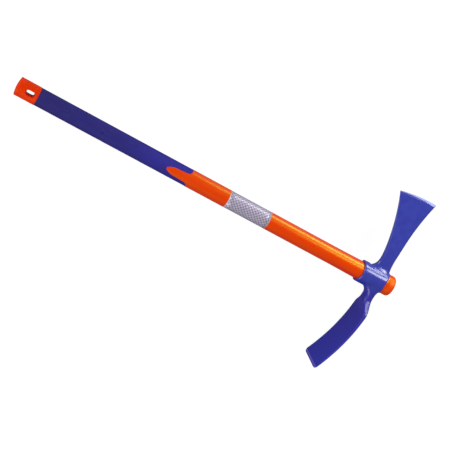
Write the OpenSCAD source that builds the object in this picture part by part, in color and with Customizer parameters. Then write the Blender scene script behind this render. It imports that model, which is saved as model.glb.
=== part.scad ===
// Cutter mattock with a fibreglass handle, lying on its side.
// Millimetres. +X runs along the handle to the head, +Y to the axe edge, +Z up.
// The shapes are drawn about the handle axis, with X = 0 inside the eye, and set down on Z = 0 at the end.

/* [Handle] */
// Length of the handle, from the end of the cap to the end of the stub beyond the head
handle_length = 900; // [780:5:1050]
// Diameter of the shaft
shaft_d = 39; // [35:0.2:42]
// Diameter of the fibreglass core
core_d = 26; // [20:0.5:27]
// Length of shaft that swells toward the eye
swell_len = 64; // [30:1:100]
// How far the stub stands out beyond the eye
stub_out = 19; // [12:0.5:26]

/* [Grip] */
// Length of the end cap
cap_len = 47; // [42:0.5:60]
// Length of the grip sleeve
grip_len = 346; // [240:2:400]
// Thickness of the grip sleeve
grip_t = 2.6; // [1.8:0.1:3.2]
// Length of the tongue of shaft that shows in the front of the grip
tongue_len = 53; // [36:1:80]
// Width of the tongue at its root
tongue_w = 25; // [18:0.5:27]
// Length of the hanging slot at its waist
slot_len = 16; // [14:0.5:22]
// Width of the hanging slot at its waist
slot_w = 6.5; // [6:0.5:10]

/* [Reflective band] */
// Length of the band along the handle
band_len = 100; // [60:1:130]
// Thickness of the film
band_t = 0.5; // [0.3:0.1:0.8]

/* [Eye] */
// Length of the eye along the handle, where the blades meet it
eye_len = 66.5; // [60:0.5:80]
// Thickness of the eye wall at its mouth
eye_wall = 4.3; // [3.6:0.1:6]

/* [Axe blade] */
// Reach of the axe edge from the handle axis
axe_reach = 201; // [160:1:230]
// Length of the axe edge
axe_edge = 86; // [66:1:104]
// Width of the axe at its neck, along the handle
axe_neck_w = 29.5; // [25:0.5:34]
// Thickness of the axe at its neck
axe_neck_t = 17; // [13:0.5:24]
// Width of the ground strip along the axe edge
ground_w = 5; // [3:0.5:8]

/* [Adze blade] */
// Reach of the adze edge from the handle axis
adze_reach = 226; // [190:1:260]
// Width of the adze at its edge
adze_edge = 106; // [96:1:130]
// Width of the adze at its shoulders
adze_shoulder = 91; // [76:1:100]
// Distance of the shoulders from the handle axis
shoulder_y = 72; // [64:1:84]
// How far the adze curves back toward the grip
adze_drop = 38; // [20:1:50]
// Thickness of the adze at its shoulders
adze_t = 7; // [5:0.2:9]

/* [Hidden] */

// stations along the handle
mouth_x = -0.55 * eye_len;
far_x = 0.45 * eye_len;
stub_x = far_x + stub_out;
cap_x = stub_x - handle_length;
grip_x0 = cap_x + cap_len;
grip_x1 = grip_x0 + grip_len;
bare_len = mouth_x - grip_x1;
swell_x = mouth_x - min(swell_len, 0.25 * bare_len);
band_l = min(band_len, 0.6 * bare_len);
band_x0 = grip_x1 + 0.336 * bare_len - band_l / 2;
band_x1 = band_x0 + band_l;
spigot_len = 0.55 * cap_len;
core_x0 = grip_x0 + spigot_len;
core_x1 = stub_x - 0.5 * stub_out;
slot_x = cap_x + 0.65 * cap_len;
// the two marks left by the pins that held the core in the mould
pin_x = [cap_x + 0.2125 * handle_length, cap_x + 0.772 * handle_length];
pin_d = 3;

// radii
shaft_r = shaft_d / 2;
core_r = core_d / 2;
grip_r = shaft_r - 0.35;
under_r = grip_r - grip_t;
band_r = shaft_r - 0.2;
cap_r = shaft_r + 0.1;
// the seat widens toward the far end, so the head jams on it
seat_r0 = shaft_r + 0.8;
seat_r1 = seat_r0 + 0.025 * eye_len;
eye_r0 = seat_r0 + eye_wall;
eye_r1 = seat_r1 + 0.55 * eye_wall;
stub_r = seat_r1 + 0.6;
stub_round = 0.4 * stub_out;
// the cheeks of the eye are shorter than its roots
cheek_cut = 0.09 * eye_len;
cheek_r = (eye_r0 * eye_r0 + cheek_cut * cheek_cut) / (2 * cheek_cut);

// helpers
function clamp(s) = min(1, max(0, s));
function ease(s) = let (t = clamp(s)) t * t * (3 - 2 * t);
function mix(a, b, s) = a + (b - a) * s;
function sq(v) = v * v;
function root(v, p) = (v < 0 ? -1 : 1) * pow(abs(v), 2 / p);
// grows from 0 at a to 1 at b, as the square of the distance
function swell(y, a, b) = sq(max(0, (y - a) / (b - a)));
// a rounded box outline of half sizes a and b, from an ellipse at p = 2 to nearly square at p = 9
function ring(a, b, p, n) =
    [for (i = [0 : n - 1]) let (t = 360 * i / n) [a * root(cos(t), p), b * root(sin(t), p)]];
function arc(cx, cy, r, t0, t1, n) =
    [for (i = [0 : n]) let (t = mix(t0, t1, i / n)) [cx + r * cos(t), cy + r * sin(t)]];

// skin over a list of rings with equal counts, each clockwise seen from the first ring's side
module skin(rings) {
    m = len(rings);
    n = len(rings[0]);
    sides = [for (j = [0 : m - 2]) for (i = [0 : n - 1]) let (k = (i + 1) % n) each
        [[j * n + i, j * n + k, (j + 1) * n + k], [j * n + i, (j + 1) * n + k, (j + 1) * n + i]]];
    lid = concat([[0, 1, n - 1]], [for (i = [1 : n / 2 - 1]) each i < n / 2 - 1
        ? [[i, i + 1, n - i - 1], [i, n - i - 1, n - i]] : [[i, i + 1, n - i]]]);
    first = [for (f = lid) [f[2], f[1], f[0]]];
    last = [for (f = lid) [for (i = f) i + (m - 1) * n]];
    polyhedron([for (r = rings) each r], concat(sides, first, last));
}

// a solid turned about the handle axis from [station, radius] points
module turned(profile) {
    rotate([0, 90, 0]) rotate_extrude($fn = 96) polygon([for (p = profile) [p[1], p[0]]]);
}

module rod(x0, x1, r) {
    translate([x0, 0, 0]) rotate([0, 90, 0]) cylinder(h = x1 - x0, r = r, $fn = 96);
}

// moves the tool from the handle axis onto the ground, centred
module set_down() {
    half_w = max(adze_edge, adze_shoulder) / 2;
    translate([-(cap_x + stub_x) / 2, (adze_reach - axe_top) / 2, half_w]) children();
}

// the roots of both blades start inside the eye, and stay inside its round until they leave it
root_ys = [for (k = [0.34, 0.65, 0.9, 1.06, 1.23, 1.44, 1.72]) k * eye_r0];
function in_eye(h, y) = y < 0.7 * eye_r0 ? min(h, sqrt(sq(eye_r0) - sq(y)) - 0.4) : h;

// axe blade, as rings at heights y from the handle axis
axe_mid = 0.117 * eye_len;
axe_edge_mid = axe_mid - 0.182 * axe_edge;
axe_neck_l = axe_mid - axe_neck_w / 2;
axe_neck_r = axe_mid + axe_neck_w / 2;
axe_taper_y = 1.68 * eye_r0;
axe_edge_t = 5.8;
axe_tip_t = 0.8;
// the side toward the grip flares from low on the blade, the other one only near the edge
axe_left_y = 0.24 * axe_reach;
function axe_left(y) = mix(axe_neck_l, axe_edge_mid - axe_edge / 2,
    pow(max(0, (y - axe_left_y) / (axe_reach - axe_left_y)), 1.45))
    - 14 * pow(max(0, (eye_r0 + 20 - y) / 25), 2.5);
function axe_right(y) = mix(axe_neck_r, axe_edge_mid + axe_edge / 2, swell(y, 0.45 * axe_reach, axe_reach))
    + 5 * swell(y, eye_r0 + 30, eye_r0 - 4);
function axe_taper(y) = (y - axe_taper_y) / (axe_reach - axe_taper_y);
function axe_half_t(y) = y > axe_reach - ground_w / 2 ? axe_tip_t / 2
    : mix(axe_neck_t, axe_edge_t, 0.65 * clamp(axe_taper(y)) + 0.35 * ease(axe_taper(y))) / 2
    + 8 * swell(y, eye_r0 + 8, eye_r0 - 6);
// the edge is a shallow arc, highest on the side away from the grip
function axe_sag(x) = sq(x - axe_edge_mid - 0.4 * axe_edge) / (7.5 * axe_edge);
function axe_ring(y) = let (l = axe_left(y), r = axe_right(y), s = max(0, axe_taper(y)))
    [for (q = ring((r - l) / 2, in_eye(axe_half_t(y), y), mix(2.8, 7, s), 32))
        let (x = (l + r) / 2 + q[0]) [x, y - axe_sag(x) * sq(s), q[1]]];
axe_rings = [for (y = concat(root_ys, [for (i = [0 : 8]) mix(2.1 * eye_r0, axe_reach - ground_w, i / 8)],
    [axe_reach])) axe_ring(y)];
axe_top = max([for (q = axe_rings[len(axe_rings) - 1]) q[1]]);

// adze blade, as rings at depths y from the handle axis
adze_mid = 0.226 * eye_len;
adze_neck_w = 1.46 * eye_r0;
adze_neck_t = 21;
neck_y = 1.73 * eye_r0;
bend_y = 0.83 * shoulder_y;
adze_edge_t = 2.2;
adze_corner = 9;
adze_side_y = adze_reach - adze_corner;
function adze_t_at(y) = mix(adze_t, adze_edge_t, clamp((y - bend_y) / (adze_reach - bend_y)))
    * (1 - 0.65 * ease((y - adze_side_y) / adze_corner));
function adze_half_t(y) = mix(adze_neck_t, adze_t_at(y), ease((y - neck_y) / 32)) / 2
    + 5 * swell(y, eye_r0 + 12, eye_r0 - 6);
function adze_widen(y) = ease((y - neck_y - 6) / (shoulder_y - neck_y - 6));
function adze_half_w(y) = mix(adze_neck_w, adze_shoulder, adze_widen(y)) / 2
    + (adze_edge - adze_shoulder) / 2 * clamp((y - shoulder_y) / (adze_side_y - shoulder_y))
    + 2.2 * swell(y, eye_r0 + 10, eye_r0 - 10)
    - (y > adze_side_y ? adze_corner - sqrt(max(0, sq(adze_corner) - sq(y - adze_side_y))) : 0);
// the side toward the grip runs out wider into the eye
function adze_fillet(y) = min(8, 4.5 * swell(y, eye_r0 + 14, eye_r0));
function adze_x(y) = adze_mid - 2.2 * (1 - ease((y - neck_y) / 34))
    - adze_drop * swell(y, bend_y, adze_reach);
function adze_ring(y) = let (f = adze_fillet(y), p = mix(2.4, 9, ease((y - neck_y) / 42)))
    [for (q = ring(adze_half_t(y) + f, in_eye(adze_half_w(y), y), p, 40)) [adze_x(y) - f + q[0], -y, -q[1]]];
adze_rings = [for (y = concat(root_ys, [for (i = [0 : 6]) mix(2 * eye_r0, shoulder_y + 10, i / 6)],
    [for (i = [1 : 7]) mix(shoulder_y + 10, adze_side_y, i / 7)],
    [for (a = [18 : 18 : 90]) adze_side_y + adze_corner * sin(a)])) adze_ring(y)];

// parts

// one forging: the axe and the adze grow out of the eye
module mattock_head() color([0.17, 0.2, 0.52]) set_down() difference() {
    union() {
        intersection() {
            turned([[mouth_x, 0], [mouth_x, eye_r0 - 2.6], [mouth_x + 1.2, eye_r0 - 1], [mouth_x + 5, eye_r0],
                [far_x - 5, eye_r1], [far_x - 1.2, eye_r1 - 0.6], [far_x, eye_r1 - 1.6], [far_x, 0]]);
            // both rims curve back along the cheeks
            rotate([90, 0, 0]) linear_extrude(3 * eye_r0, center = true) intersection() {
                translate([mouth_x + cheek_r, 0]) circle(cheek_r, $fn = 180);
                translate([far_x - cheek_r, 0]) circle(cheek_r, $fn = 180);
            }
        }
        skin(axe_rings);
        skin(adze_rings);
    }
    // the tapered hole through the eye
    turned([[mouth_x - eye_len, 0], [mouth_x - eye_len, 2 * seat_r0 - seat_r1],
        [far_x + eye_len, 2 * seat_r1 - seat_r0], [far_x + eye_len, 0]]);
}

// pultruded rod through the whole handle
module fibreglass_core() color([0.86, 0.82, 0.68]) set_down() rod(core_x0, core_x1, core_r);

// the outline of the tongue, cut through both sides of the grip, with a little to spare in front
module tongue() {
    nose = 0.36 * tongue_w;
    nose_len = min(2.9 * nose, tongue_len - 0.4 * tongue_w);
    x0 = grip_x1 - tongue_len;
    side = concat([for (t = [90 : -15 : 0]) [x0 + nose_len * (1 - sin(t)), nose * cos(t)]],
        [[grip_x1 - 0.34 * tongue_w, 0.41 * tongue_w], [grip_x1 - 0.16 * tongue_w, 0.48 * tongue_w],
        [grip_x1, 0.66 * tongue_w], [grip_x1 + 1, 0.66 * tongue_w]]);
    linear_extrude(4 * shaft_r, center = true)
        polygon(concat(side, [for (i = [len(side) - 1 : -1 : 1]) [side[i][0], -side[i][1]]]));
}

// plastic moulded over the core, with the seat for the head and the stub at its end
module handle_jacket() color([0.9, 0.3, 0.05]) set_down() difference() {
    turned(concat([[grip_x0, 0], [grip_x0, shaft_r], [band_x0, shaft_r], [band_x0, band_r - band_t],
        [band_x1, band_r - band_t], [band_x1, shaft_r], [swell_x, shaft_r], [mouth_x, seat_r0],
        [far_x, seat_r1], [far_x + 2, stub_r]],
        arc(stub_x - stub_round, stub_r - stub_round, stub_round, 90, 0, 6), [[stub_x, 0]]));
    // room for the grip, with the tongue left standing in it
    difference() {
        rod(grip_x0 - 1, grip_x1, shaft_r + 1);
        rod(grip_x0 - 2, grip_x1 + 1, under_r);
        tongue();
    }
    rod(grip_x0 - 1, core_x1, core_r);
    // pin mark in the shaft
    for (s = [-1, 1]) translate([pin_x[1], 0, s * shaft_r])
        cylinder(h = 2.4, d = pin_d, center = true, $fn = 32);
}

// soft sleeve moulded over the jacket, with a prong each side of the tongue
module grip_sleeve() color([0.19, 0.18, 0.42]) set_down() difference() {
    rod(grip_x0, grip_x1, grip_r);
    rod(grip_x0 - 1, grip_x1 + 1, under_r);
    tongue();
    // pin mark in the grip
    for (s = [-1, 1]) translate([pin_x[0], 0, s * grip_r])
        cylinder(h = 1.6 * grip_t, d = pin_d, center = true, $fn = 32);
}

// half of the hanging slot, which opens out from the middle of the cap
module slot_half() {
    h = cap_r + 2;
    w = slot_w / 2;
    out = w + 0.14 * h;
    span = (slot_len - slot_w) / 2;
    for (s = [-1, 1]) translate([slot_x + s * span, 0, 0]) cylinder(h = h, r1 = w, r2 = out, $fn = 48);
    translate([slot_x, 0, 0]) rotate([90, 0, 90]) linear_extrude(2 * span, center = true)
        polygon([[-w, 0], [w, 0], [out, h], [-out, h]]);
}

// domed cap with a hanging slot, held by a spigot in the end of the jacket
module end_cap() color([0.88, 0.2, 0.06]) set_down() difference() {
    dome = 0.12 * cap_r;
    edge = 1.3;
    turned(concat([for (k = [0 : 0.2 : 1]) [cap_x + dome * sq(k), (cap_r - edge) * k]],
        [[cap_x + dome + 0.3 * edge, cap_r - 0.3 * edge], [cap_x + dome + edge, cap_r],
        [grip_x0 - 0.8, cap_r], [grip_x0, grip_r - 0.4], [grip_x0, core_r],
        [core_x0, core_r], [core_x0, 0]]));
    slot_half();
    mirror([0, 0, 1]) slot_half();
}

// printed film round the shaft, in a shallow recess
module reflective_band() color([0.72, 0.7, 0.74]) set_down() difference() {
    rod(band_x0, band_x1, band_r);
    rod(band_x0 - 1, band_x1 + 1, band_r - band_t);
}

mattock_head();
fibreglass_core();
handle_jacket();
grip_sleeve();
end_cap();
reflective_band();
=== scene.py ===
"""Looks of a cutter mattock with a fibreglass handle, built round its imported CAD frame."""
import math

import bmesh
import bpy
from mathutils import Matrix, Quaternion, Vector


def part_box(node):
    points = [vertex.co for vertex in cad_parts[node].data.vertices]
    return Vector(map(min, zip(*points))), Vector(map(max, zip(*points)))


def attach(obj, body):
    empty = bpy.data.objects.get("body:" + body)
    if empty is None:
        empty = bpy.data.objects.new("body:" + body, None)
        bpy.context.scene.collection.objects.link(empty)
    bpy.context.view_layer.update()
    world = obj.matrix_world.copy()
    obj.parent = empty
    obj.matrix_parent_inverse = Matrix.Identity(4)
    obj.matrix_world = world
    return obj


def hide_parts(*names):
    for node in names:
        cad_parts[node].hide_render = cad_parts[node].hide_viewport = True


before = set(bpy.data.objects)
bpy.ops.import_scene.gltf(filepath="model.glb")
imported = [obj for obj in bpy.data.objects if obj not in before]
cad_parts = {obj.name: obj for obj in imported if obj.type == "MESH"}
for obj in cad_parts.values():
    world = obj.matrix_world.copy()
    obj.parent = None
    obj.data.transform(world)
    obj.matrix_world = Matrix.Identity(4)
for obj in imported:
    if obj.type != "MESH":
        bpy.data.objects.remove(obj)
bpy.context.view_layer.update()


# Core
# A pultruded rod of glass fibre in polyester resin, and the strength of the handle.
# The jacket is moulded over it and hides it, so the CAD solid stays and only gets its look.
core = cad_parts["fibreglass_core"]
core_low, core_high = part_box("fibreglass_core")
# meshes are drawn in millimetres about the handle's axis, with X = 0 inside the eye and the
# handle's end on the head side at STUB_END
STUB_END = 48.925
eye_at = (core_low + core_high) / 2
eye_at.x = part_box("handle_jacket")[1].x - STUB_END / 1000


class Field:
    """A value in a material: arithmetic adds Math nodes, and node() adds any other node."""

    def __init__(self, tree, socket):
        self.tree, self.socket = tree, socket

    def node(self, kind, settings, inputs, out=0):
        made = self.tree.nodes.new(kind)
        for name, value in settings.items():
            setattr(made, name, value)
        for name, value in inputs.items():
            if isinstance(value, Field):
                self.tree.links.new(value.socket, made.inputs[name])
            else:
                made.inputs[name].default_value = value
        return Field(self.tree, made.outputs[out]) if made.outputs else None

    def math(self, operation, a, b=0.0):
        return self.node("ShaderNodeMath", {"operation": operation}, {0: a, 1: b})

    def __add__(self, other):
        return self.math("ADD", self, other)

    def __radd__(self, other):
        return self.math("ADD", other, self)

    def __sub__(self, other):
        return self.math("SUBTRACT", self, other)

    def __rsub__(self, other):
        return self.math("SUBTRACT", other, self)

    def __mul__(self, other):
        return self.math("MULTIPLY", self, other)

    def __rmul__(self, other):
        return self.math("MULTIPLY", other, self)

    def __truediv__(self, other):
        return self.math("DIVIDE", self, other)

    def __rtruediv__(self, other):
        return self.math("DIVIDE", other, self)

    def __pow__(self, other):
        return self.math("POWER", self, other)

    def __abs__(self):
        return self.math("ABSOLUTE", self)

    def axis(self, name):
        return self.node("ShaderNodeSeparateXYZ", {}, {"Vector": self}, name)

    def step(self, low, high):
        """0 below low and 1 above high, smooth between them, or the other way round."""
        return self.node("ShaderNodeMapRange", {"interpolation_type": "SMOOTHSTEP"},
                         {"Value": self, "From Min": low, "From Max": high})

    def blend(self, a, b):
        """Colour a where this is 0 and colour b where it is 1."""
        colours = {k: c if isinstance(c, Field) else (*c, 1) for k, c in ((6, a), (7, b))}
        return self.node("ShaderNodeMix", {"data_type": "RGBA"}, {0: self, **colours}, 2)

    def noise(self, scale, detail=2.0, rough=0.5):
        """Cloudy noise of this many cells to the millimetre, one number or three for X, Y and Z."""
        stretch = scale if isinstance(scale, tuple) else (scale,) * 3
        placed = self.node("ShaderNodeMapping", {}, {"Vector": self, "Scale": stretch})
        return self.node("ShaderNodeTexNoise", {},
                         {"Vector": placed, "Scale": 1.0, "Detail": detail, "Roughness": rough})

    def bump(self, depth):
        """Relief of this many millimetres."""
        return self.node("ShaderNodeBump", {}, {"Height": self, "Strength": 1.0, "Distance": depth / 1000})


def srgb(red, green, blue):
    """The linear colour that shows as these values from 0 to 255."""
    return tuple(((c / 255 + 0.055) / 1.055) ** 2.4 if c > 10 else c / 3295 for c in (red, green, blue))


def coat_of(name):
    """A new material, and the place on the piece in millimetres about the handle's axis."""
    material = bpy.data.materials.new(name)
    material.use_nodes = True
    tree = material.node_tree
    tree.nodes.clear()
    at = Field(tree, tree.nodes.new("ShaderNodeTexCoord").outputs["Object"])
    at = at.node("ShaderNodeMapping", {}, {"Vector": at, "Location": -eye_at * 1000, "Scale": (1000,) * 3})
    return material, at


def surface(at, **sockets):
    """Ends a material in one Principled shader with these sockets."""
    named = {name.replace("_", " "): value for name, value in sockets.items()}
    shader = at.node("ShaderNodeBsdfPrincipled", {}, named)
    at.node("ShaderNodeOutputMaterial", {}, {"Surface": shader})


resin, at = coat_of("resin_and_glass")
fibres = at.noise((0.02, 3.0, 3.0), 3.0)
surface(at, Base_Color=fibres.step(0.35, 0.65).blend(srgb(196, 188, 150), srgb(226, 220, 190)),
        Roughness=0.3 + 0.2 * fibres, Normal=fibres.bump(0.05))
core.data.materials.clear()
core.data.materials.append(resin)


# Jacket
# Glossy orange polypropylene, injection moulded over the core. It carries the seat for the head,
# the stub beyond it, a shallow recess for the band, and a tongue each side that runs into the grip.
def extent(node):
    """Low and high corner of a CAD node, in millimetres about the handle's axis."""
    return [(corner - eye_at) * 1000 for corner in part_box(node)]


grip_low, grip_high = extent("grip_sleeve")
band_low, band_high = extent("reflective_band")
core_end = extent("fibreglass_core")[1]
GRIP_BACK, GRIP_FRONT, GRIP_R = grip_low.x, grip_high.x, grip_high.z
BAND_BACK, BAND_FRONT, FILM_R = band_low.x, band_high.x, band_high.z
GRIP_WALL = 2.6
UNDER_R, SHAFT_R, RECESS_R = GRIP_R - GRIP_WALL, FILM_R + 0.2, FILM_R - 0.32
STUB_R = extent("handle_jacket")[1].z
STUB_ROUND, STUB_DOME = 5.8, 0.9
MOUTH, FAR = -36.575, 29.925
SEAT_R0, SEAT_R1 = SHAFT_R + 0.8, STUB_R - 0.6
SWELL = MOUTH - 64
TONGUE_TIP, TONGUE_W, NOSE = GRIP_FRONT - 53, 25.0, 26.1
SHAFT_PIN, PIN_R, PIN_ROWS = STUB_END - 205.2, 1.5, (-2.4, 0, 2.4)
EIGHTH, QUARTER = math.pi / 4, math.pi / 2


def clamp(s):
    return min(1.0, max(0.0, s))


def ease(s):
    """Smooth rise from 0 to 1 while s goes from 0 to 1."""
    s = clamp(s)
    return s * s * (3 - 2 * s)


def mix(a, b, s):
    return a + (b - a) * s


def tongue_edge(x):
    """Angle round the handle from the middle of the tongue to its edge."""
    nose = min(1.0, max(0.035, (x - TONGUE_TIP) / NOSE))
    along = clamp((x - TONGUE_TIP - NOSE) / (GRIP_FRONT - TONGUE_TIP - NOSE))
    # a round nose, then a slow spread that ends in a quick flare at the front of the grip
    half = TONGUE_W * (0.36 * math.sqrt(1 - (1 - nose) ** 2) + 0.05 * along + 0.25 * along ** 10)
    # the lines swing back to 45 degrees before the tongue and after it
    away = ease((TONGUE_TIP - x) / 30) + ease((x - GRIP_FRONT) / 30)
    return mix(math.asin(half / SHAFT_R), EIGHTH, away)


def turned(profile, steps):
    """A bmesh turned about the handle's axis from [station, radius] points, from its +Z side round."""
    bm = bmesh.new()
    line = [bm.verts.new((x, 0, r)) for x, r in profile]
    links = [bm.edges.new(pair) for pair in zip(line, line[1:])]
    bmesh.ops.spin(bm, geom=line + links, axis=(1, 0, 0), angle=math.tau, steps=steps, use_merge=True)
    bmesh.ops.remove_doubles(bm, verts=bm.verts, dist=0.005)
    bmesh.ops.recalc_face_normals(bm, faces=bm.faces)
    return bm


def side_angle(point):
    """Angle round the handle from the nearer side, +Z or -Z."""
    return math.atan2(abs(point.y), abs(point.z))


def follow_tongue(bm):
    """Turns the lengthwise lines of a round piece so that the one at 45 degrees runs along the tongue."""
    for v in bm.verts:
        r, turn, edge = math.hypot(v.co.y, v.co.z), side_angle(v.co), tongue_edge(v.co.x)
        if turn <= EIGHTH + 0.001:
            turn *= edge / EIGHTH
        else:
            turn = QUARTER - (QUARTER - turn) * (QUARTER - edge) / EIGHTH
        v.co.y = math.copysign(r * math.sin(turn), v.co.y)
        v.co.z = math.copysign(r * math.cos(turn), v.co.z)


def pull_out(bm, faces):
    """Extrudes faces with their edges, so none stay inside, and gives the new vertices and faces."""
    edges = {e for f in faces for e in f.edges}
    made = bmesh.ops.extrude_face_region(bm, geom=[*faces, *edges])["geom"]
    kinds = bmesh.types.BMVert, bmesh.types.BMFace
    return [[part for part in made if isinstance(part, kind)] for kind in kinds]


def sink_pins(bm, x, r, depth):
    """Sinks the round mark of a mould pin into both sides of the handle."""
    for side in (1, -1):
        hub = min(bm.verts, key=lambda v: (v.co - Vector((x, 0, side * r))).length)
        bmesh.ops.inset_region(bm, faces=hub.link_faces, thickness=0.4)
        for v in {v for f in hub.link_faces for v in f.verts} - {hub}:
            v.co.x, v.co.y = Vector((x, 0)) + Vector((v.co.x - x, v.co.y)).normalized() * PIN_R
            v.co.z = side * math.sqrt(r * r - v.co.y ** 2)
        bmesh.ops.translate(bm, verts=pull_out(bm, hub.link_faces)[0], vec=(0, 0, -side * depth))


def finish_piece(bm, name, coat, rounded, node):
    """Sets a mesh down in the frame as a piece with rounded edges, standing for its CAD node."""
    bmesh.ops.recalc_face_normals(bm, faces=bm.faces)
    for f in bm.faces:
        f.smooth = True
    bmesh.ops.transform(bm, matrix=Matrix.Translation(eye_at) @ Matrix.Scale(0.001, 4), verts=bm.verts)
    mesh = bpy.data.meshes.new(name)
    bm.to_mesh(mesh)
    bm.free()
    mesh.materials.append(coat)
    piece = bpy.data.objects.new(name, mesh)
    bpy.context.scene.collection.objects.link(piece)
    if rounded:
        bevel = piece.modifiers.new("rounded_edges", "BEVEL")
        bevel.width, bevel.segments = rounded / 1000, 2
        bevel.limit_method, bevel.angle_limit, bevel.harden_normals = "ANGLE", 0.6, True
    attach(piece, "root")
    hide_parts(node)
    return piece


tongue_rows = [TONGUE_TIP + NOSE * (1 - math.sin(math.radians(t))) for t in (90, 62, 46, 32, 19, 8)]
tongue_rows += [mix(TONGUE_TIP + NOSE, GRIP_FRONT, s)
                for s in (0.04, 0.28, 0.5, 0.66, 0.77, 0.85, 0.91, 0.96)]
under_grip = [mix(GRIP_BACK, TONGUE_TIP, s) for s in (0, 0.35, 0.7, 0.88, 0.94, 0.975)] + tongue_rows
shaft = [(GRIP_FRONT + d, SHAFT_R) for d in (5, 14, 25, 37, 62)] + [(BAND_BACK, SHAFT_R)]
shaft += [(mix(BAND_BACK, BAND_FRONT, s), RECESS_R) for s in (0, 0.5, 1)] + [(BAND_FRONT, SHAFT_R)]
shaft += [(SHAFT_PIN + d, SHAFT_R) for d in (-64, -24, *PIN_ROWS, 27)]
shaft += [(mix(SWELL, MOUTH, s), mix(SHAFT_R, SEAT_R0, s ** 1.4)) for s in (0, 0.25, 0.5, 0.75, 1)]
seat = [(FAR, SEAT_R1), (FAR + 0.6, SEAT_R1 + 0.05), (FAR + 1.6, STUB_R - 0.1)]
stub = [(STUB_END - STUB_DOME - STUB_ROUND * (1 - math.sin(t)), STUB_R - STUB_ROUND * (1 - math.cos(t)))
        for t in (math.radians(d) for d in range(0, 91, 15))]
# the mould's gate leaves a low rim round a dimple on the end of the stub
stub += [(STUB_END - STUB_DOME / 2, 9.0), (STUB_END - 0.1, 4.0), (STUB_END - 0.6, 2.6), (STUB_END - 0.6, 0)]
bore = [(core_end.x, 0), (core_end.x, core_end.z), (GRIP_BACK, core_end.z)]
jacket_bm = turned(bore + [(x, UNDER_R) for x in under_grip + [GRIP_FRONT]] + shaft + seat + stub, 64)
# the shaft and both tongues are thicker than what runs under the grip, and the bore stays as it is
thick = [f for f in jacket_bm.faces for c in [f.calc_center_median()]
         if (math.hypot(c.y, c.z) > core_end.z + 1 or c.x > core_end.x)
         and (c.x > GRIP_FRONT or c.x > TONGUE_TIP and side_angle(c) < EIGHTH)]
for v in pull_out(jacket_bm, thick)[0]:
    if v.co.x < GRIP_FRONT + 0.01:
        v.co.yz = v.co.yz * (SHAFT_R / UNDER_R)
follow_tongue(jacket_bm)
sink_pins(jacket_bm, SHAFT_PIN, SHAFT_R, 1.2)

jacket_plastic, at = coat_of("jacket_plastic")
flow = at.noise((0.012, 0.09, 0.09), 3.0)
peel = at.noise(0.45, 1.0)
scuff = at.noise((0.25, 1.6, 1.6), 4.0).step(0.62, 0.75) * at.noise(0.02, 2.0).step(0.5, 0.62)
parting = abs(at.axis("Z")).step(0.35, 0.0)
dull = at.axis("X").step(FAR, FAR + 6)
colour = flow.step(0.3, 0.7).blend(srgb(233, 40, 4), srgb(239, 46, 5))
colour = (0.25 * scuff).blend(colour, srgb(240, 120, 50))
# the stub is duller than the shaft, and the pigment tints the gloss of the plastic
surface(at, Base_Color=colour, Roughness=0.28 + 0.05 * flow + 0.2 * scuff + 0.2 * dull, IOR=1.9,
        Specular_Tint=(0.4, 0.9, 0.05, 1), Normal=(peel * 0.05 + parting - 0.3 * scuff).bump(0.06))
finish_piece(jacket_bm, "jacket", jacket_plastic, 0.2, "handle_jacket")


# Grip
# A sleeve of soft matte rubber, moulded over the jacket in a second shot. It lies a little below
# the tongues, which leave it with a prong above and below, and has the marks of two mould pins.
GRIP_PIN = STUB_END - 708.75
grip_rows = [mix(GRIP_BACK, GRIP_PIN, s) for s in (0, 0.1, 0.3, 0.58, 0.79)]
grip_rows += [GRIP_PIN + d for d in PIN_ROWS]
grip_rows += [mix(GRIP_PIN, TONGUE_TIP, s) for s in (0.2, 0.47, 0.67, 0.8, 0.88, 0.94)]
grip_rows += tongue_rows + [GRIP_FRONT]
grip_bm = turned([(x, GRIP_R) for x in grip_rows], 64)
notch = [f for f in grip_bm.faces for c in [f.calc_center_median()]
         if c.x > TONGUE_TIP and side_angle(c) < EIGHTH]
bmesh.ops.delete(grip_bm, geom=notch, context="FACES")
follow_tongue(grip_bm)
bmesh.ops.solidify(grip_bm, geom=grip_bm.faces, thickness=GRIP_WALL)
sink_pins(grip_bm, GRIP_PIN, GRIP_R, 2.0)

grip_rubber, at = coat_of("grip_rubber")
grain = at.noise(1.7, 2.0, 0.6)
cloud = at.noise((0.012, 0.05, 0.05), 3.0)
rubbed = at.noise((0.05, 0.3, 0.3), 3.0).step(0.45, 0.75)
# painted light: the blue is painted lighter toward the front of the grip
painted_light_forward = at.axis("X").step(GRIP_BACK - 60, GRIP_FRONT + 60)
colour = painted_light_forward.blend(srgb(40, 34, 106), srgb(44, 40, 150))
colour = (0.5 * cloud.step(0.35, 0.7)).blend(colour, srgb(35, 31, 100))
colour = (0.2 * rubbed).blend(colour, srgb(58, 56, 142))
surface(at, Base_Color=colour, Roughness=0.66 + 0.12 * grain - 0.1 * rubbed, IOR=1.3,
        Normal=(grain + 1.5 * abs(at.axis("Z")).step(0.3, 0.0)).bump(0.06))
finish_piece(grip_bm, "grip_sleeve_rubber", grip_rubber, 0.3, "grip_sleeve")


# End cap
# Satin red-orange plastic, moulded on its own and pushed into the end of the jacket by a spigot.
# A slot goes right through it, so that the tool can hang from a nail or a cord.
cap_low, cap_high = extent("end_cap")
CAP_END, SPIGOT_END, CAP_R, SPIGOT_R = cap_low.x, cap_high.x, cap_high.z, core_end.z - 0.05
# the rise of the cap's domed end, and the rounding at its edge
DOME, EDGE = 2.35, 1.3
# the slot's middle, half width and half length between centres, and what it gains at each face
SLOT_X, SLOT_HALF, SLOT_SPAN, SLOT_FLARE = CAP_END + 30.55, 3.25, 4.75, 2.75
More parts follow.
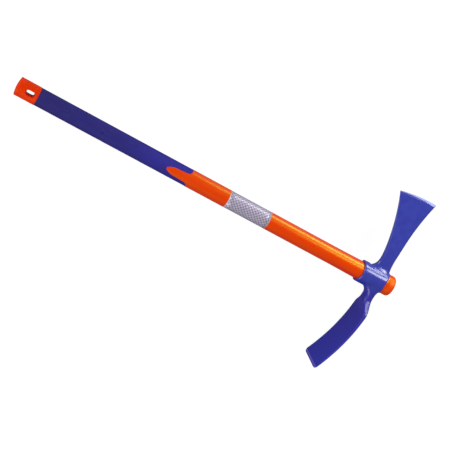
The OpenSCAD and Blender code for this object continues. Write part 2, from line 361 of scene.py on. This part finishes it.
# half the length of the patch of skin that opens into the slot
SLOT_PATCH = 11.45
cap_rows = [(CAP_END + DOME * k * k, (CAP_R - EDGE) * k) for k in (0, 0.25, 0.5, 0.75, 0.92, 1)]
cap_rows += [(CAP_END + DOME + EDGE * (1 - math.cos(t)), CAP_R - EDGE * (1 - math.sin(t)))
             for t in (math.radians(d) for d in (30, 60, 90))]
cap_rows += [(CAP_END + d, CAP_R) for d in (10, 15)]
cap_rows += [(SLOT_X + SLOT_PATCH * s / 4, CAP_R) for s in range(-4, 5)]
cap_rows += [(SLOT_X + 13, CAP_R), (GRIP_BACK - 0.8, CAP_R), (GRIP_BACK, GRIP_R - 0.4)]
cap_rows += [(GRIP_BACK, SPIGOT_R), (SPIGOT_END, SPIGOT_R), (SPIGOT_END, 0)]
cap_bm = turned(cap_rows, 64)


def slot_ring(point, half):
    """Place on the slot's outline, of this half width, in the direction of a point of the square patch."""
    u, v = (point.x - SLOT_X) / SLOT_PATCH, math.asin(point.y / CAP_R) / (EIGHTH / 2)
    run, rise = abs(u) * (SLOT_SPAN + half), abs(v) * half
    if rise * SLOT_SPAN >= half * run:
        k = half / rise
    else:
        a, b, c = run * run + rise * rise, run * SLOT_SPAN, SLOT_SPAN ** 2 - half * half
        k = (b + math.sqrt(b * b - a * c)) / a
    return SLOT_X + math.copysign(k * run, u), math.copysign(k * rise, v)


for side in (1, -1):
    patch = [f for f in cap_bm.faces for c in [f.calc_center_median()]
             if side * c.z > 0 and abs(c.x - SLOT_X) < SLOT_PATCH and side_angle(c) < EIGHTH / 2]
    rim = [e for e in {e for f in patch for e in f.edges} if sum(f in patch for f in e.link_faces) == 1]
    bmesh.ops.delete(cap_bm, geom=patch, context="FACES")
    walls = bmesh.ops.extrude_edge_only(cap_bm, edges=rim)["geom"]
    for v in [part for part in walls if isinstance(part, bmesh.types.BMVert)]:
        v.co = (*slot_ring(v.co, SLOT_HALF), 0)
    for v in {v for e in rim for v in e.verts}:
        x, y = slot_ring(v.co, SLOT_HALF + SLOT_FLARE)
        v.co = (x, y, side * math.sqrt(CAP_R ** 2 - y * y))
bmesh.ops.remove_doubles(cap_bm, verts=cap_bm.verts, dist=0.01)
lips = [e for e in cap_bm.edges if len(e.link_faces) == 2 and e.calc_face_angle(0) > 0.6
        and all(abs(v.co.yz.length - CAP_R) < 0.01 and abs(v.co.x - SLOT_X) < SLOT_PATCH for v in e.verts)]
bmesh.ops.bevel(cap_bm, geom=lips, offset=0.7, segments=3, profile=0.5, affect="EDGES", material=-1)

cap_plastic, at = coat_of("cap_plastic")
cloud = at.noise(0.05, 3.0)
stipple = at.noise(1.3, 1.0)
worn = at.axis("X").step(CAP_END + 6, CAP_END) * at.noise(0.5, 4.0).step(0.5, 0.7)
colour = cloud.step(0.3, 0.7).blend(srgb(224, 50, 4), srgb(234, 58, 5))
colour = (0.4 * worn).blend(colour, srgb(190, 56, 34))
# red light spreads in the plastic, into the walls of the slot
surface(at, Base_Color=colour, Roughness=0.42 + 0.1 * stipple + 0.15 * worn, IOR=1.35,
        Specular_Tint=(1, 0.5, 0.1, 1), Subsurface_Weight=0.5, Subsurface_Radius=(1, 0.15, 0.05),
        Subsurface_Scale=0.015, Normal=(stipple - worn).bump(0.04))
finish_piece(cap_bm, "hanging_cap", cap_plastic, 0.25, "end_cap")


# Head
# One steel forging: the axe and the adze are drawn out of the eye, which is threaded on from the
# grip end and jams on the tapered seat. Enamelled blue all over, then ground bare at the axe edge.
head_low, head_high = extent("mattock_head")
AXE_REACH, ADZE_REACH, ADZE_W = head_high.y, -head_low.y, 2 * head_high.z
EYE_R, CHEEK_R = SEAT_R0 + 4.3, 53.55
AXE_EDGE, AXE_MID, EDGE_MID, AXE_NECK_W = 86.0, 7.78, -7.87, 29.5
AXE_NECK_T, AXE_BLADE_T, AXE_EDGE_T, GROUND = 17.0, 5.8, 0.7, 5.0
SHOULDER_W, SHOULDER, ADZE_DROP, ADZE_MID, BEND, CORNER = 91.0, 72.0, 38.0, 15.03, 59.76, 7.0
ADZE_NECK_W, ADZE_NECK_T, BEND_T, ADZE_TIP_T = 1.46 * EYE_R, 21.0, 7.0, 2.2
TAPER, NECK, FLARE = 1.68 * EYE_R, 1.73 * EYE_R, 0.24 * AXE_REACH
ADZE_SIDE = ADZE_REACH - CORNER
# how far each blade's root reaches round the eye, either side of its middle
AXE_ROOT, ADZE_ROOT = math.radians(30), math.radians(50)
# the rounding draws the sections and the eye in, so they are drawn this much fuller
FULLER, EYE_FULLER = 0.8, 1.005
# lines round the eye between which the blades are drawn out of it
patch_rows = [mix(-11, FAR - 3.2, i / 8) for i in range(9)]
# the wall of the eye goes from its mouth to its far end outside, and back inside
eye_wall = [(MOUTH + d, EYE_R - inset) for d, inset in ((0.35, 1), (1.5, 0.2), (4, 0))]
eye_wall += [(-27, EYE_R), (-19, EYE_R)] + [(x, EYE_R - 0.15) for x in patch_rows]
eye_wall += [(FAR - 1.75, EYE_R - 0.3), (FAR - 0.45, EYE_R - 0.7), (FAR, EYE_R - 1.4)]
eye_wall += [(FAR - 0.35, EYE_R - 2.2), (FAR - 1.65, EYE_R - 2.55)]
eye_wall += [(x, mix(SEAT_R0, SEAT_R1, (x - MOUTH) / (FAR - MOUTH)) + 0.06) for x in (15, 0, -15, -30)]
eye_wall += [(MOUTH + 1.9, SEAT_R0 + 0.15), (MOUTH + 0.65, SEAT_R0 + 0.7), (MOUTH, SEAT_R0 + 1.9)]
head_bm = turned([(x, r * EYE_FULLER) for x, r in eye_wall + eye_wall[:1]], 36)
across, round_eye = (head_bm.verts.layers.float.new(name) for name in ("across", "round_eye"))


def swell(y, a, b):
    """0 as far as a, then the square of the way from a to b."""
    return max(0.0, (y - a) / (b - a)) ** 2


def root(value, power):
    """Sine or cosine for a circle squared up by this power."""
    return math.copysign(abs(value) ** (2 / power), value)


def rounded_box(u, v, a, b, power):
    """A point of a square, u and v from -1 to 1, on a rounded box of half sizes a and b."""
    m = max(abs(u), abs(v))
    if m == 0:
        return 0.0, 0.0
    if abs(u) >= abs(v):
        t = EIGHTH * v / m if u > 0 else math.pi - EIGHTH * v / m
    else:
        t = QUARTER - EIGHTH * u / m if v > 0 else EIGHTH * u / m - QUARTER
    return m * a * root(math.cos(t), power), m * b * root(math.sin(t), power)


def edge_bow(x):
    """How far the axe's edge curves back at this place across it, a number or a Field."""
    return (x - EDGE_MID - 0.4 * AXE_EDGE) ** 2 / (7.5 * AXE_EDGE)


def axe_section(y, u, v):
    """A point of the axe at this distance from the handle, from its place on the eye's patch."""
    flare = clamp((y - FLARE) / (AXE_REACH - FLARE)) ** 1.45
    left = mix(AXE_MID - AXE_NECK_W / 2, EDGE_MID - AXE_EDGE / 2, flare)
    # the root is filleted to the eye, most of all on the grip side
    left -= 14 * clamp((EYE_R + 20 - y) / 25) ** 2.5
    right = mix(AXE_MID + AXE_NECK_W / 2, EDGE_MID + AXE_EDGE / 2, swell(y, 0.45 * AXE_REACH, AXE_REACH))
    right += 5 * swell(y, EYE_R + 30, EYE_R - 4)
    body = min(y, AXE_REACH - GROUND)
    s = clamp((body - TAPER) / (AXE_REACH - TAPER))
    half = mix(AXE_NECK_T, AXE_BLADE_T, mix(s, ease(s), 0.35)) / 2 + 8 * swell(y, EYE_R + 8, EYE_R - 6)
    half = mix(half, AXE_EDGE_T / 2, (y - body) / GROUND)
    s = clamp((y - TAPER) / (AXE_REACH - TAPER))
    x, z = rounded_box(u, v, (right - left) / 2 + FULLER, half, mix(2.8, 7, s))
    x += (left + right) / 2
    return Vector((x, y - edge_bow(x) * s * s, z))


def adze_section(y, u, v):
    """A point of the adze at this distance from the handle, from its place on the eye's patch."""
    blade = mix(BEND_T, ADZE_TIP_T, clamp((y - BEND) / (ADZE_REACH - BEND)))
    ground = 0.65 * clamp((y - ADZE_SIDE) / CORNER)
    half = mix(ADZE_NECK_T, blade * (1 - ground), ease((y - NECK) / 32)) / 2
    half += 5 * swell(y, EYE_R + 12, EYE_R - 6)
    s = clamp((y - NECK - 6) / (SHOULDER - NECK - 6))
    wide = mix(ADZE_NECK_W, SHOULDER_W, mix(s, ease(s), 0.45)) / 2 + FULLER
    along = clamp((y - SHOULDER) / (ADZE_SIDE - SHOULDER))
    wide += ((ADZE_W - SHOULDER_W) / 2 - 0.9 * FULLER) * along
    wide += 2.2 * swell(y, EYE_R + 10, EYE_R - 10)
    # the tip's corners round off half as far again across the blade as along it
    wide -= 1.5 * (CORNER - math.sqrt(max(0, CORNER ** 2 - max(0, y - ADZE_SIDE) ** 2)))
    fillet = min(8, 4.5 * swell(y, EYE_R + 14, EYE_R))
    middle = ADZE_MID - 2.2 * (1 - ease((y - NECK) / 34)) - ADZE_DROP * swell(y, BEND, ADZE_REACH) - fillet
    half += 0.25 + 0.7 * (1 - ease((y - NECK) / 60))
    x, z = rounded_box(u, v, half + fillet, wide, mix(2.4, 16, ease((y - NECK) / 42)))
    # the shoulders are eased off on the inner side
    z *= 1 - 2.4 / wide * max(0, -u) * ease((y - NECK) / 12) * (1 - ease((y - SHOULDER) / 50))
    return Vector((middle + blade * ground / 2 + x, -y, z))


def draw_out(patch, stations, section):
    """Draws faces of the eye out into a blade, through one section after another."""
    for y in stations:
        drawn, patch = pull_out(head_bm, patch)
        for v in drawn:
            v.co = section(y, v[across], v[round_eye])


blades = []
for side, spread, rows in ((1, AXE_ROOT, [-19] + patch_rows), (-1, ADZE_ROOT, patch_rows)):
    patch = [f for f in head_bm.faces for c in [f.calc_center_median()]
             if rows[0] < c.x < rows[-1] and c.yz.length > EYE_R - 1.3
             and abs(math.atan2(c.z, side * c.y)) < spread]
    for v in {v for f in patch for v in f.verts}:
        v[across] = 2 * min(range(len(rows)), key=lambda i: abs(rows[i] - v.co.x)) / (len(rows) - 1) - 1
        v[round_eye] = math.atan2(v.co.z, side * v.co.y) / spread
    blades.append(patch)
# both rims curve back along the cheeks
for v in head_bm.verts:
    cut = CHEEK_R - math.sqrt(CHEEK_R ** 2 - v.co.z ** 2)
    v.co.x = mix(MOUTH + cut, FAR - cut, (v.co.x - MOUTH) / (FAR - MOUTH))
axe_stations = [EYE_R + d for d in (-2.6, 0, 2.6, 5.4, 9, 13.5, 19.5, 27.5, 37.5)]
axe_stations += [AXE_REACH - d for d in (125, 109, 91, 73, 55, 38, 24, 14, 6.4, 5.1, 4.5, 2.5, 0.7, 0)]
adze_stations = [EYE_R + d for d in (1.8, 4.6, 8.6, 13, 17.5, 22.5, 27.5, 33.5, 39.5, 45.5, 52.5, 61.5)]
adze_stations += [ADZE_SIDE - d for d in (117, 99, 79, 59, 39, 21, 8, 2.5, 0.5)]
adze_stations += [ADZE_SIDE + CORNER * math.sin(math.radians(t)) for t in (3, 18, 36, 54, 72, 90)]
draw_out(blades[0], axe_stations, axe_section)
draw_out(blades[1], adze_stations, adze_section)

head_enamel, at = coat_of("head_enamel")
x, y = at.axis("X"), at.axis("Y")
dents = at.noise(0.045, 1.0)
forged = at.noise(0.06, 3.0)
# the ground strip narrows toward the grip side of the edge
edge_line = AXE_REACH - edge_bow(x)
strip = 3.05 + 0.036 * x + 0.3 * at.noise(0.2, 2.0)
bare = (y - (edge_line - strip)).step(-0.15, 0.15)
grind = at.noise((1.8, 0.05, 0.4), 3.0)
chips = at.noise(0.5, 4.0, 0.6).step(0.66, 0.7) * (y - edge_line).step(-14, -5)
# a lighter line is painted along the crest of the adze's bevel, a painted highlight on that edge
painted_highlight_crest = (y + ADZE_REACH).step(6.2, 4.8) * (y + ADZE_REACH).step(2.2, 3.4)
colour = forged.step(0.3, 0.7).blend(srgb(43, 52, 158), srgb(49, 59, 165))
# past the neck the enamel is duller, and its blue is painted darker and more violet as painted shade on the
# adze, then a little lighter toward the adze's edge
past_neck_shade_and_dull = y.step(-8, -36)
painted_shade_violet = y.step(-60, -200).blend(srgb(40, 34, 154), srgb(40, 42, 174))
colour = past_neck_shade_and_dull.blend(colour, painted_shade_violet)
colour = chips.blend(colour, srgb(36, 38, 112))
colour = (0.9 * painted_highlight_crest).blend(colour, srgb(112, 98, 214))
colour = bare.blend(colour, grind.step(0.3, 0.7).blend(srgb(118, 124, 168), srgb(130, 136, 180)))
surface(at, Base_Color=colour, Metallic=bare,
        Roughness=0.2 + 0.06 * forged + 0.31 * bare + 0.14 * past_neck_shade_and_dull, IOR=1.6,
        Normal=((1 - bare) * 0.25 * dents + bare * (grind * 0.15 - 0.8)).bump(0.12))
head = finish_piece(head_bm, "forged_head", head_enamel, 0, "mattock_head")
skin = head.modifiers.new("forged_round", "SUBSURF")
skin.levels = skin.render_levels = 2


# Reflective band
# Silver film printed with a diamond mesh, wrapped once round the shaft in its recess and
# stuck down, with its end lapped over its start on the side that lies underneath.
FILM_T, FILM_GAP, LAP, RAMP, LAP_AT = 0.3, 0.3, 0.35, 0.12, math.radians(150)
BAND_MID, BAND_HALF = (BAND_BACK + BAND_FRONT) / 2, (BAND_FRONT - BAND_BACK) / 2
# diamonds of the mesh round the shaft, and the length of each
MESH_COUNT, MESH_LEN = 16, 7.8
band_bm = bmesh.new()
bmesh.ops.create_grid(band_bm, x_segments=10, y_segments=72, size=0.5)
for v in band_bm.verts:
    turn = (v.co.y + 0.5) * (math.tau + LAP)
    r = FILM_R + FILM_T * ease((turn - math.tau + RAMP) / RAMP)
    x = mix(BAND_BACK + FILM_GAP, BAND_FRONT - FILM_GAP, v.co.x + 0.5)
    v.co = (x, r * math.sin(LAP_AT + turn), r * math.cos(LAP_AT + turn))
band_bm.normal_update()
bmesh.ops.solidify(band_bm, geom=band_bm.faces, thickness=FILM_T)

film, at = coat_of("reflective_film")
x, y, z = (at.axis(name) for name in "XYZ")
around = at.math("ARCTAN2", y, z) * (MESH_COUNT / math.tau)
along = x / MESH_LEN
mesh_lines = [abs((d - d.math("FLOOR", d)) - 0.5).step(0.22, 0.5) for d in (along + around, along - around)]
lines = 0.5 * (mesh_lines[0] + mesh_lines[1])
sparkle = at.node("ShaderNodeTexVoronoi", {}, {"Vector": at, "Scale": 0.9}, "Color")
margin = abs(x - BAND_MID).step(BAND_HALF - 2.4, BAND_HALF - 1.6)
cell = at.node("ShaderNodeSeparateColor", {}, {"Color": sparkle}, 0)
colour = cell.step(0.1, 0.9).blend(srgb(180, 170, 192), srgb(204, 196, 214))
colour = (lines * (1 - margin)).blend(colour, srgb(52, 44, 92))
colour = margin.blend(colour, srgb(206, 200, 210))
surface(at, Base_Color=colour, Metallic=0.25 * (1 - lines), Roughness=0.34 + 0.16 * cell, IOR=1.5,
        Coat_Weight=0.5, Coat_Roughness=0.15, Normal=((1 - lines) + 0.3 * cell).bump(0.05))
finish_piece(band_bm, "reflective_wrap", film, 0, "reflective_band")


# Floor, light and camera
# A wide pale floor under the tool, soft boxes round it, and the photograph's camera. The floor
# lies a hair below the tool, so that no faces coincide.
floor_bm = bmesh.new()
bmesh.ops.create_circle(floor_bm, cap_ends=True, segments=96, radius=8)
bmesh.ops.translate(floor_bm, verts=floor_bm.verts, vec=(0, 0, -0.0002))
floor_mesh = bpy.data.meshes.new("floor")
floor_bm.to_mesh(floor_mesh)
floor_bm.free()
floor = bpy.data.objects.new("floor", floor_mesh)
bpy.context.scene.collection.objects.link(floor)
paper, at = coat_of("white_paper")
camera_ray, glossy_ray, glass_ray = (at.node("ShaderNodeLightPath", {}, {}, f"Is {kind} Ray")
                                     for kind in ("Camera", "Glossy", "Transmission"))
# the paper glows for gloss, far more on its far side toward +Y: a painted reflection that the top edge of
# the handle shows
painted_reflection_far_side = at.axis("Y").step(-50, 250)
seen = camera_ray + (0.05 + 0.85 * painted_reflection_far_side) * at.math("MAXIMUM", glossy_ray, glass_ray)
plain = at.node("ShaderNodeBsdfDiffuse", {}, {"Color": (0.14, 0.14, 0.14, 1)})
glow = at.node("ShaderNodeEmission", {}, {"Color": (1, 1, 1, 1), "Strength": 0.92 * seen})
at.node("ShaderNodeOutputMaterial", {}, {"Surface": at.node("ShaderNodeAddShader", {}, {0: plain, 1: glow})})
# the glow is there for the eye and for gloss, and the lamps and the sky light the tool
paper.cycles.emission_sampling = "NONE"
floor_mesh.materials.append(paper)

studio = bpy.data.worlds.new("studio")
bpy.context.scene.world = studio
studio.use_nodes = True
studio.node_tree.nodes.clear()
sky = Field(studio.node_tree, None)
seen = sky.node("ShaderNodeLightPath", {}, {}, "Is Camera Ray")
sky.node("ShaderNodeOutputWorld", {}, {"Surface": sky.node(
    "ShaderNodeBackground", {}, {"Color": (1, 1, 1, 1), "Strength": 0.3 + 0.7 * seen})})

# each box has its place and its aim in metres, its width and height, and its watts
for name, place, aim, size, power in (
        ("shaft_box", (0.7, 1.62, 0.2), (0.2, 0, 0.05), (0.6, 0.5), 7.0),
        ("swell_box", (0.94, 1.6, 0.25), (0.35, 0, 0.05), (0.16, 0.5), 3.2),
        ("collar_box", (1.05, 1.0, 0.8), (0.4, 0, 0.05), (0.3, 0.74), 11),
        ("fill_box", (-1.3, -2.3, 1.9), (0, 0, 0.05), (2.4, 2.4), 60),
        ("blade_box", (-2.6, 0.9, 1.1), (0.3, 0, 0.05), (1.6, 2.0), 40)):
    lamp = bpy.data.lights.new(name, "AREA")
    lamp.shape, lamp.size, lamp.size_y, lamp.energy = "RECTANGLE", *size, power
    box = bpy.data.objects.new(name, lamp)
    box.location = place
    box.rotation_euler = (Vector(aim) - box.location).to_track_quat("-Z", "Y").to_euler()
    bpy.context.scene.collection.objects.link(box)

# the focal length and the width of the photograph, in its pixels
FOCAL_PX, PHOTO_PX = 1200, 452
# where the camera stood from the eye, its line of sight and its roll, fitted to the photograph
CAMERA_AT = Vector((-0.95242, 0.41985, 2.3811))
SIGHT = Vector((0.61682, -0.47358, -2.38789))
ROLL = math.radians(156.985)
lens = bpy.data.cameras.new("camera")
lens.sensor_width = 36
lens.lens = lens.sensor_width * FOCAL_PX / PHOTO_PX
camera = bpy.data.objects.new("camera", lens)
camera.location = eye_at + CAMERA_AT
camera.rotation_euler = (SIGHT.to_track_quat("-Z", "Y") @ Quaternion((0, 0, 1), ROLL)).to_euler()
bpy.context.scene.collection.objects.link(camera)
bpy.context.scene.camera = camera
bpy.context.scene.view_settings.view_transform = "Standard"
